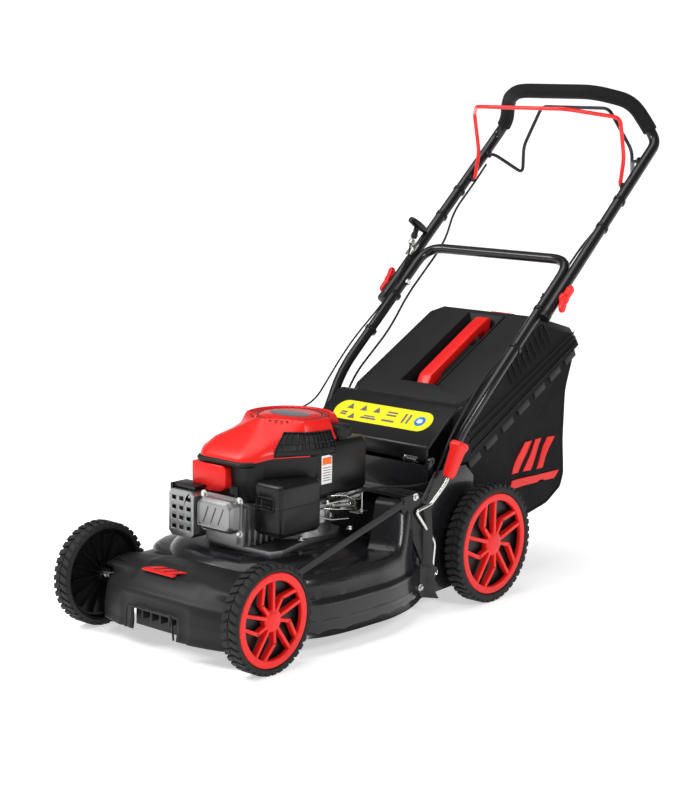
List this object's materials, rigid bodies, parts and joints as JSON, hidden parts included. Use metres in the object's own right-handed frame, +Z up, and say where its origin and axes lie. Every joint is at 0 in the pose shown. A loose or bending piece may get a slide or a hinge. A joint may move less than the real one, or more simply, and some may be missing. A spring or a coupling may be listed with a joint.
{
  "type": "push lawn mower",
  "caption": "Petrol rotary lawn mower pushed by a folding handle, with large rear wheels, a bail for the blade, one for the drive, and a rear grass bag.",
  "frame": {"origin": "middle of the footprint, on the ground", "axes": "+Z up, the front points along -Y, +X is the mower's left"},
  "size_m": [0.4986, 1.3756, 1.06],
  "materials": {
    "deck_paint": "gloss black enamel on pressed steel",
    "black_paint": "gloss black paint on steel tube",
    "red_paint": "gloss red coating on steel rod",
    "black_plastic": "fine textured black moulding",
    "red_plastic": "gloss red moulding",
    "cast_aluminium": "as-cast aluminium",
    "exhaust_steel": "heat-dulled steel",
    "zinc": "zinc-plated steel",
    "dark_steel": "blackened steel",
    "brass": "sintered gear metal",
    "rubber": "black rubber sheath",
    "tyre": "moulded tread rubber",
    "rim_plastic": "red moulded spokes over a black inner disc",
    "foam": "closed-cell foam sleeve",
    "bag_fabric": "black woven polyester",
    "rope": "braided cord"
  },
  "bodies": {
    "chassis": {"deck_shell": "deck_paint", "front_cover": "black_plastic", "discharge_chute": "black_plastic", "crankcase": "cast_aluminium", "cylinder": "cast_aluminium", "rocker_cover": "cast_aluminium", "muffler": "exhaust_steel", "muffler_guard": "zinc", "blower_housing": "black_plastic", "engine_cover": "red_plastic", "air_filter_box": "black_plastic", "carburettor": "zinc", "fuel_tank": "black_plastic", "spark_plug": "rubber", "gearbox": "black_plastic", "drive_belt": "rubber", "lower_handle": "black_paint", "starter_rope": "rope", "stop_cable_lower": "rubber", "drive_cable_lower": "rubber"},
    "crank_group": {"crankshaft": "dark_steel", "flywheel": "cast_aluminium", "blade_adapter": "dark_steel", "blade": "dark_steel", "blade_bolt": "zinc"},
    "rope_reel": {"rope_reel": "black_plastic"},
    "gearbox_pulley": {"gearbox_pulley": "dark_steel"},
    "drive_shaft": {"drive_shaft": "dark_steel"},
    "front_axle": {"front_axle": "zinc"},
    "rear_axle": {"rear_axle": "zinc"},
    "height_lever": {"height_lever": "zinc", "lever_grip": "red_plastic"},
    "height_link": {"height_link": "black_paint"},
    "upper_handle": {"upper_handle": "black_paint", "foam_grip": "foam", "rope_guide": "zinc", "stop_cable_upper": "rubber", "drive_cable_upper": "rubber"},
    "stop_bail": {"stop_bail": "red_paint"},
    "drive_bail": {"drive_bail": "black_paint"},
    "starter_handle": {"starter_handle": "black_plastic"},
    "discharge_flap": {"discharge_flap": "black_plastic"},
    "grass_bag": {"bag_body": "bag_fabric", "bag_lid": "black_plastic", "bag_handle": "red_plastic"},
    "fill_indicator": {"fill_indicator": "red_plastic"},
    "fuel_cap": {"fuel_cap": "black_plastic"},
    "oil_cap": {"oil_cap": "black_plastic"},
    "front_left_wheel": {"front_left_wheel_rim": "rim_plastic", "front_left_tyre": "tyre"},
    "rear_left_wheel": {"rear_left_wheel_rim": "rim_plastic", "rear_left_tyre": "tyre"},
    "pinion_left": {"pinion_left": "brass"},
    "wing_knob_left": {"wing_knob_left": "red_plastic"},
    "front_right_wheel": {"front_right_wheel_rim": "rim_plastic", "front_right_tyre": "tyre"},
    "rear_right_wheel": {"rear_right_wheel_rim": "rim_plastic", "rear_right_tyre": "tyre"},
    "pinion_right": {"pinion_right": "brass"},
    "wing_knob_right": {"wing_knob_right": "red_plastic"}
  },
  "joints": [
    {"name": "engine_turns", "type": "hinge", "parent": "chassis", "child": "crank_group", "pos_m": [0, -0.28778, 0.134], "axis": [0, 0, 1], "continuous": true},
    {"name": "gearbox_pulley_turns", "type": "hinge", "parent": "chassis", "child": "gearbox_pulley", "pos_m": [-0.14, 0.01322, 0.13], "axis": [0, 0, 1], "continuous": true},
    {"name": "drive_shaft_turns", "type": "hinge", "parent": "chassis", "child": "drive_shaft", "pos_m": [0, 0.03522, 0.11649], "axis": [1, 0, 0], "continuous": true},
    {"name": "cutting_height", "type": "hinge", "parent": "chassis", "child": "front_axle", "pos_m": [0, -0.54477, 0.09499], "axis": [1, 0, 0], "range_deg": [-28, 48]},
    {"name": "rear_axle_swings", "type": "hinge", "parent": "chassis", "child": "rear_axle", "pos_m": [0, 0.03522, 0.11649], "axis": [1, 0, 0], "range_deg": [-48, 28]},
    {"name": "height_lever_swings", "type": "hinge", "parent": "chassis", "child": "height_lever", "pos_m": [0, -0.07678, 0.087], "axis": [1, 0, 0], "range_deg": [-4.5, 7.5]},
    {"name": "height_link_swings", "type": "hinge", "parent": "height_lever", "child": "height_link", "pos_m": [0, -0.16878, 0.242], "axis": [1, 0, 0], "range_deg": [-7.5, 4.5]},
    {"name": "handle_folds", "type": "hinge", "parent": "chassis", "child": "upper_handle", "pos_m": [0, 0.30022, 0.613], "axis": [1, 0, 0], "range_deg": [0, 140], "deforming": ["starter_rope"]},
    {"name": "stop_bail_closes", "type": "hinge", "parent": "upper_handle", "child": "stop_bail", "pos_m": [0, 0.55984, 0.83868], "axis": [-1, 0, 0], "range_deg": [0, 33], "stiffness_Nm_per_rad": 1.5, "springref_deg": -34.38},
    {"name": "drive_bail_closes", "type": "hinge", "parent": "upper_handle", "child": "drive_bail", "pos_m": [0, 0.62248, 0.89314], "axis": [1, 0, 0], "range_deg": [0, 30], "stiffness_Nm_per_rad": 1.2, "springref_deg": -34.38},
    {"name": "starter_pulls", "type": "slide", "parent": "upper_handle", "child": "starter_handle", "axis": [0, 0.4695, 0.8829], "range_m": [0, 0.35], "stiffness_N_per_m": 12, "springref_m": -0.25},
    {"name": "rope_reel_turns", "type": "hinge", "parent": "chassis", "child": "rope_reel", "pos_m": [0, -0.28778, 0.362], "axis": [0, 0, 1], "range_deg": [-460, 0]},
    {"name": "flap_lifts", "type": "hinge", "parent": "chassis", "child": "discharge_flap", "pos_m": [0, -0.04978, 0.304], "axis": [1, 0, 0], "range_deg": [0, 60], "stiffness_Nm_per_rad": 0.4, "springref_deg": -34.38},
    {"name": "bag_draws_off", "type": "slide", "parent": "chassis", "child": "grass_bag", "axis": [0, 1, 0], "range_m": [0, 0.35]},
    {"name": "fill_flap_lifts", "type": "hinge", "parent": "grass_bag", "child": "fill_indicator", "pos_m": [0.022, 0.37862, 0.556], "axis": [1, 0, 0], "range_deg": [0, 20]},
    {"name": "fuel_cap_turns", "type": "hinge", "parent": "chassis", "child": "fuel_cap", "pos_m": [0.089, -0.24078, 0.38], "axis": [0, 0, 1], "range_deg": [0, 90]},
    {"name": "oil_cap_turns", "type": "hinge", "parent": "chassis", "child": "oil_cap", "pos_m": [-0.088, -0.19078, 0.235], "axis": [0, 0, 1], "range_deg": [0, 90]},
    {"name": "front_left_wheel_rolls", "type": "hinge", "parent": "front_axle", "child": "front_left_wheel", "pos_m": [0.225, -0.58578, 0.102], "axis": [1, 0, 0], "continuous": true},
    {"name": "rear_left_wheel_rolls", "type": "hinge", "parent": "rear_axle", "child": "rear_left_wheel", "pos_m": [0.225, 0.07622, 0.1235], "axis": [1, 0, 0], "continuous": true},
    {"name": "pinion_left_turns", "type": "hinge", "parent": "rear_axle", "child": "pinion_left", "pos_m": [0.213, 0.03522, 0.11649], "axis": [1, 0, 0], "continuous": true},
    {"name": "wing_knob_left_turns", "type": "hinge", "parent": "upper_handle", "child": "wing_knob_left", "pos_m": [0.225, 0.30022, 0.613], "axis": [1, 0, 0], "continuous": true},
    {"name": "front_right_wheel_rolls", "type": "hinge", "parent": "front_axle", "child": "front_right_wheel", "pos_m": [-0.225, -0.58578, 0.102], "axis": [1, 0, 0], "continuous": true},
    {"name": "rear_right_wheel_rolls", "type": "hinge", "parent": "rear_axle", "child": "rear_right_wheel", "pos_m": [-0.225, 0.07622, 0.1235], "axis": [1, 0, 0], "continuous": true},
    {"name": "pinion_right_turns", "type": "hinge", "parent": "rear_axle", "child": "pinion_right", "pos_m": [-0.213, 0.03522, 0.11649], "axis": [1, 0, 0], "continuous": true},
    {"name": "wing_knob_right_turns", "type": "hinge", "parent": "upper_handle", "child": "wing_knob_right", "pos_m": [-0.225, 0.30022, 0.613], "axis": [1, 0, 0], "continuous": true}
  ],
  "couplings": [
    {"joint": "gearbox_pulley_turns", "follows": "engine_turns", "ratio": 0.625},
    {"joint": "rear_axle_swings", "follows": "cutting_height", "ratio": -1},
    {"joint": "height_lever_swings", "follows": "cutting_height", "ratio": 0.15},
    {"joint": "height_link_swings", "follows": "cutting_height", "ratio": -0.15},
    {"joint": "rope_reel_turns", "follows": "starter_pulls", "rad_per_m": -22.72},
    {"joint": "pinion_left_turns", "follows": "rear_left_wheel_rolls", "ratio": 3},
    {"joint": "pinion_right_turns", "follows": "rear_right_wheel_rolls", "ratio": 3}
  ]
}
